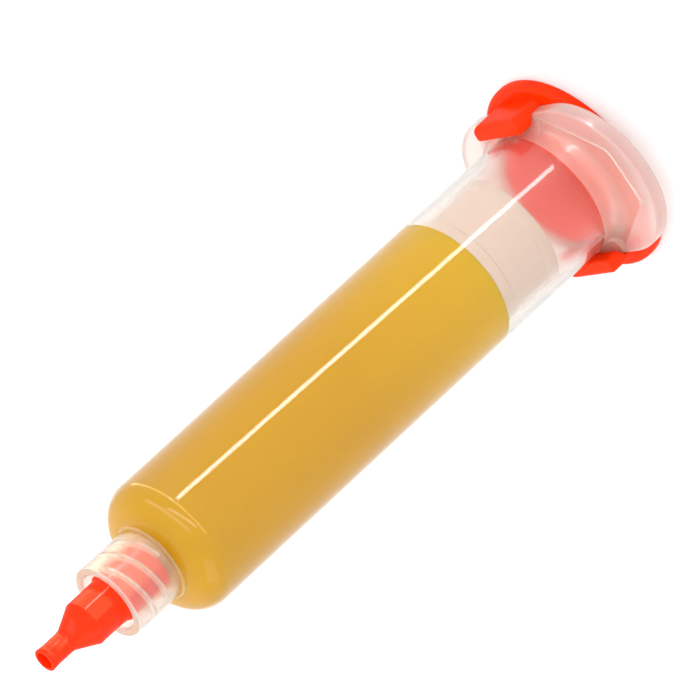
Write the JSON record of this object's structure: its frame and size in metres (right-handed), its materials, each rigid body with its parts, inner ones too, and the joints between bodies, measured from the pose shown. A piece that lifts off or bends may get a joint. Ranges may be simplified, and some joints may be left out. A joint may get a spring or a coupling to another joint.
{
  "type": "dispensing syringe filled with flux paste",
  "caption": "Industrial dispensing syringe of flux paste: clear flanged barrel with a luer lock, wiper piston, clip-on end cap and push-on tip cap.",
  "frame": {"origin": "centre of the end cap's rear face, which the syringe stands on", "axes": "+Z along the bore towards the tip; X along the flange's two ears; Y across the end cap's two clips"},
  "size_m": [0.0364, 0.0278, 0.0985],
  "materials": {
    "natural_plastic": "translucent natural polypropylene, glossy",
    "piston_plastic": "natural polyethylene, satin",
    "amber_flux": "wet translucent amber paste",
    "cap_plastic": "orange-red polyethylene, glossy"
  },
  "bodies": {
    "barrel": {"barrel": "natural_plastic", "end_cap": "cap_plastic", "flux_paste": "amber_flux"},
    "piston": {"piston": "piston_plastic"},
    "tip_cap": {"tip_cap": "cap_plastic"}
  },
  "joints": [
    {"name": "piston_slide", "type": "slide", "parent": "barrel", "child": "piston", "axis": [0, 0, 1], "range_m": [0, 0.0515], "deforming": ["flux_paste"]},
    {"name": "tip_cap_pull", "type": "slide", "parent": "barrel", "child": "tip_cap", "axis": [0, 0, 1], "range_m": [0, 0.012]}
  ]
}
